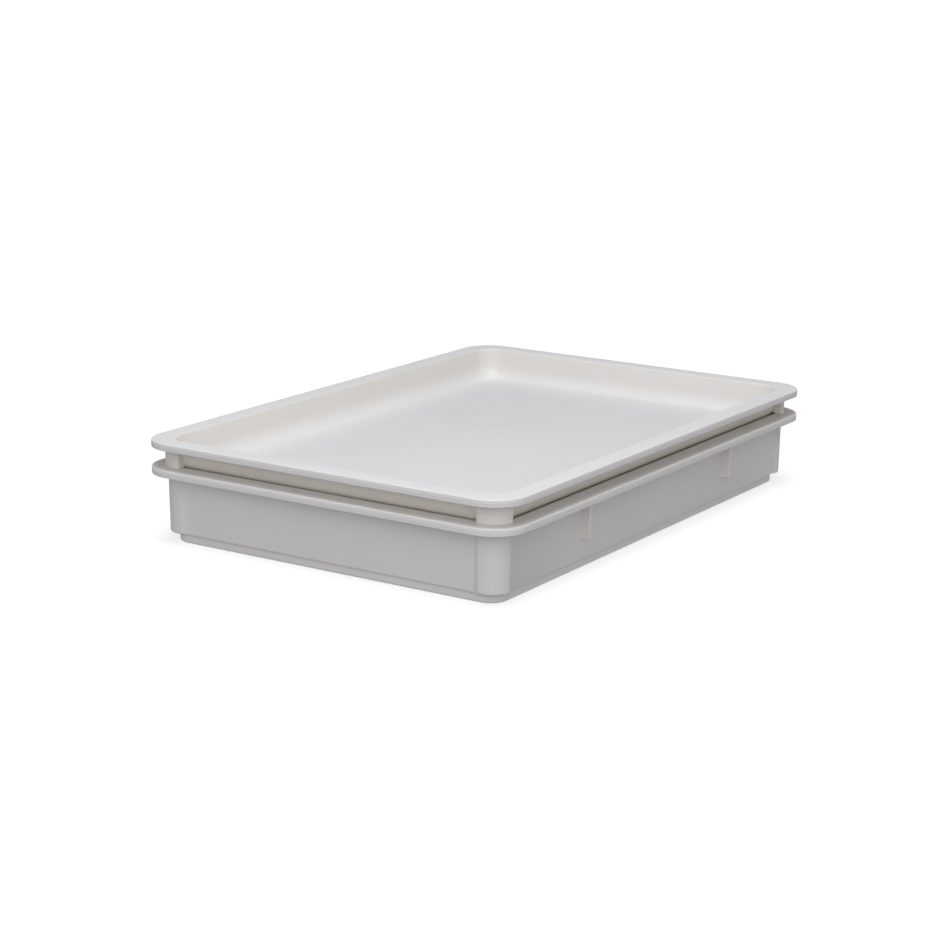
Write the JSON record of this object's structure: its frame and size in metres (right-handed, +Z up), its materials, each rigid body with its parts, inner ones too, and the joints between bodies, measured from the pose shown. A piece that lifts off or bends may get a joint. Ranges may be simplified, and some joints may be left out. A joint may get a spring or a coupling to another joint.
{
  "type": "stacking crate with lid",
  "caption": "Shallow rectangular stacking crate of white moulded plastic, with ribs under its rim and a dished tray lid that stands on the rim on corner posts.",
  "frame": {"origin": "centre of the underside of the crate's foot, on the surface that the crate stands on", "axes": "+X along the length, +Y along the width, +Z up"},
  "size_m": [0.66, 0.457, 0.1111],
  "materials": {
    "crate_plastic": "moulded polypropylene, off-white, satin with a very fine grain",
    "lid_plastic": "moulded polypropylene, off-white, satin with a very fine grain"
  },
  "bodies": {
    "crate": {"crate_body": "crate_plastic"},
    "lid": {"crate_lid": "lid_plastic"}
  },
  "joints": [
    {"name": "lid_lift", "type": "slide", "parent": "crate", "child": "lid", "axis": [0, 0, 1], "range_m": [0, 0.15]}
  ]
}
